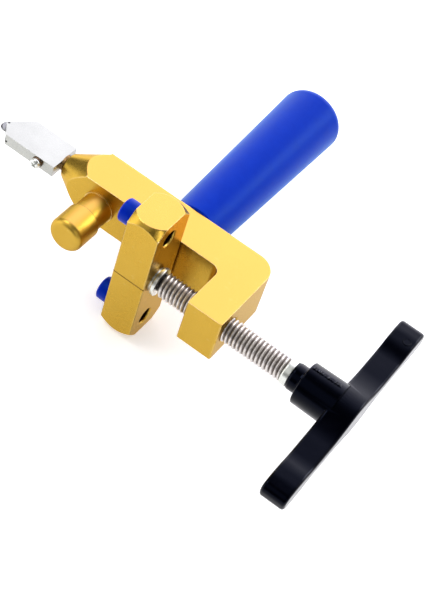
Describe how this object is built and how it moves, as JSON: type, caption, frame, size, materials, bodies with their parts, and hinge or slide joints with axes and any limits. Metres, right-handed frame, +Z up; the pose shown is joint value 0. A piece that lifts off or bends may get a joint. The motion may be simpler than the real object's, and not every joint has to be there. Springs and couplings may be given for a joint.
{
  "type": "glass cutter",
  "caption": "Hand glass cutter with a scoring wheel on its nose and a screw-driven jaw that snaps the scored sheet over an anvil post.",
  "frame": {"origin": "where the screw axis crosses the axis of the anvil post", "axes": "+X from the scoring head along the screw towards the T-handle, +Y towards the blue grip, +Z up the height of the frame"},
  "size_m": [0.2137, 0.1977, 0.073],
  "materials": {
    "gold_anodised": "satin gold anodised",
    "brass": "machined",
    "head_steel": "fine ground, nickel plated",
    "carbide": "ground tungsten carbide",
    "dark_steel": "black oxide",
    "bright_steel": "zinc plated",
    "screw_steel": "rolled thread, zinc plated",
    "washer_brass": "dull",
    "blue_rubber": "satin",
    "blue_pad": "smooth, slightly glossy",
    "plain_aluminium": "as turned",
    "black_plastic": "moulded, glossy"
  },
  "bodies": {
    "frame": {"frame_body": "gold_anodised", "nose_spigot": "brass", "head_body": "head_steel", "wheel_axle": "dark_steel", "clamp_screw": "bright_steel", "clamp_washer": "washer_brass", "anvil_collar": "gold_anodised", "anvil_cap": "gold_anodised", "anvil_stud": "bright_steel", "grip_sleeve": "blue_rubber", "grip_core": "plain_aluminium", "grip_stud": "bright_steel"},
    "wheel": {"cutting_wheel": "carbide"},
    "jaw": {"jaw_block": "gold_anodised", "pad_upper": "blue_pad", "pad_lower": "blue_pad", "pad_screws": "dark_steel", "spindle_bushing": "bright_steel", "thrust_washer": "dark_steel"},
    "screw": {"spindle": "screw_steel", "retaining_ring": "dark_steel", "handle_insert": "bright_steel", "t_handle": "black_plastic"}
  },
  "joints": [
    {"name": "wheel_spin", "type": "hinge", "parent": "frame", "child": "wheel", "pos_m": [-0.05905, 0.0232, 0], "axis": [0, 0, 1], "continuous": true},
    {"name": "jaw_slide", "type": "slide", "parent": "frame", "child": "jaw", "axis": [-1, 0, 0], "range_m": [-0.0173, 0.0181]},
    {"name": "spindle_turn", "type": "hinge", "parent": "jaw", "child": "screw", "pos_m": [0.0472, 0, 0], "axis": [-1, 0, 0], "range_deg": [-3096, 3240]}
  ],
  "couplings": [
    {"joint": "jaw_slide", "follows": "spindle_turn", "m_per_rad": 0.00031831}
  ]
}
